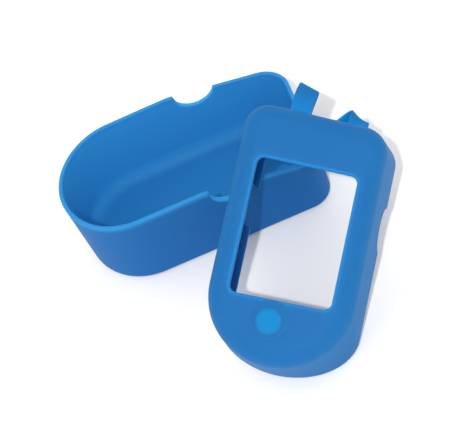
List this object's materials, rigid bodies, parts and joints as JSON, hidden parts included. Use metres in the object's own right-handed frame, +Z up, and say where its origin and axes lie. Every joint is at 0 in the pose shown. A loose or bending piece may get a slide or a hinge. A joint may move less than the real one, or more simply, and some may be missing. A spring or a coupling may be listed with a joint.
{
  "type": "pager case",
  "caption": "Soft silicone pager case lying open: a deep U-shaped rear tub and a windowed front cover with a press button and folded strap loops.",
  "frame": {"origin": "middle of the whole case's footprint, on the surface it lies on", "axes": "+Z up, +X along the rear tub from its round end to its square end, +Y away from the front cover"},
  "size_m": [0.1429, 0.1544, 0.074],
  "materials": {
    "silicone_tub": "matte",
    "silicone_cover": "matte",
    "silicone_button": "matte",
    "silicone_loop": "matte"
  },
  "bodies": {
    "tub": {"rear_tub": "silicone_tub"},
    "cover": {"front_cover": "silicone_cover"},
    "button": {"button_pad": "silicone_button"},
    "loop_left": {"strap_loop_left": "silicone_loop"},
    "loop_right": {"strap_loop_right": "silicone_loop"}
  },
  "joints": [
    {"name": "cover_lift", "type": "slide", "parent": "tub", "child": "cover", "axis": [0, 0, 1], "range_m": [0, 0.06]},
    {"name": "button_press", "type": "slide", "parent": "cover", "child": "button", "axis": [0.076, 0.4072, -0.9102], "range_m": [0, 0.0012], "stiffness_N_per_m": 400},
    {"name": "loop_left_flex", "type": "hinge", "parent": "cover", "child": "loop_left", "pos_m": [0.04211, 0.01736, 0.05974], "axis": [0.7575, -0.2927, -0.5835], "range_deg": [-5, 5], "stiffness_Nm_per_rad": 0.002},
    {"name": "loop_right_flex", "type": "hinge", "parent": "cover", "child": "loop_right", "pos_m": [0.06016, 0.00346, 0.05503], "axis": [0.6751, -0.158, -0.7206], "range_deg": [-5, 5], "stiffness_Nm_per_rad": 0.002}
  ]
}
